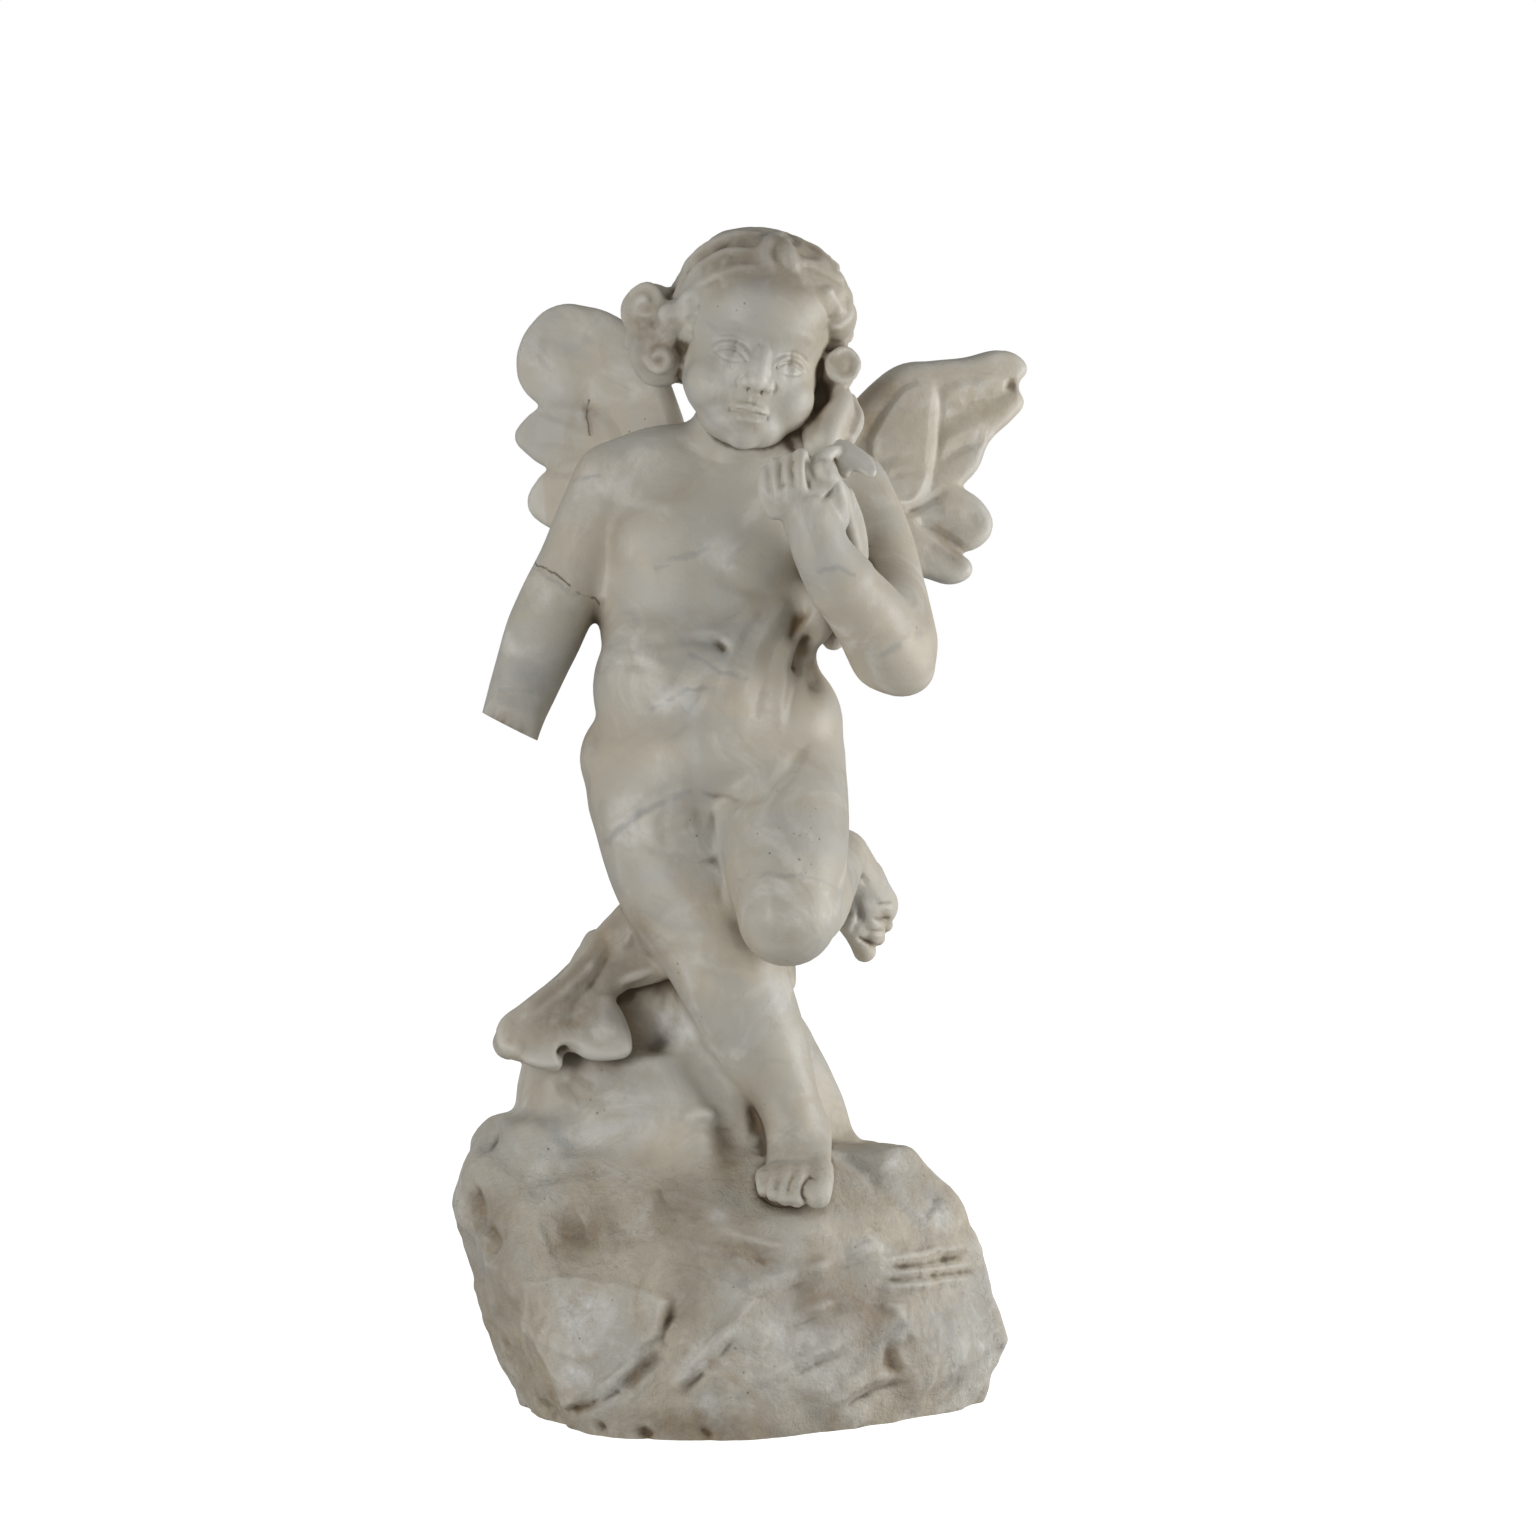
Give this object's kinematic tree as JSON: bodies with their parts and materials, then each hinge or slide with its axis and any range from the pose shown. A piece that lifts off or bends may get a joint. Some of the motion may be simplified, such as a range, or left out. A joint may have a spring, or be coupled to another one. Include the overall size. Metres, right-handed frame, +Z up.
{
  "type": "marble angel statue",
  "caption": "Aged marble statue of a winged child standing on one foot on a rough rock, one forearm broken off, with a veil held to the chin.",
  "frame": {"origin": "on the flat underside of the rock, under the middle of the figure", "axes": "+Z up, from the underside of the rock to the crown of the head; the figure looks along -Y, and +X is to its left, the viewer's right"},
  "size_m": [0.4379, 0.3117, 0.8766],
  "materials": {
    "marble": "weathered polish, warm grey-white with grey veins and brown dirt in the hollows"
  },
  "bodies": {
    "root": {"angel_statue": "marble"}
  },
  "joints": []
}
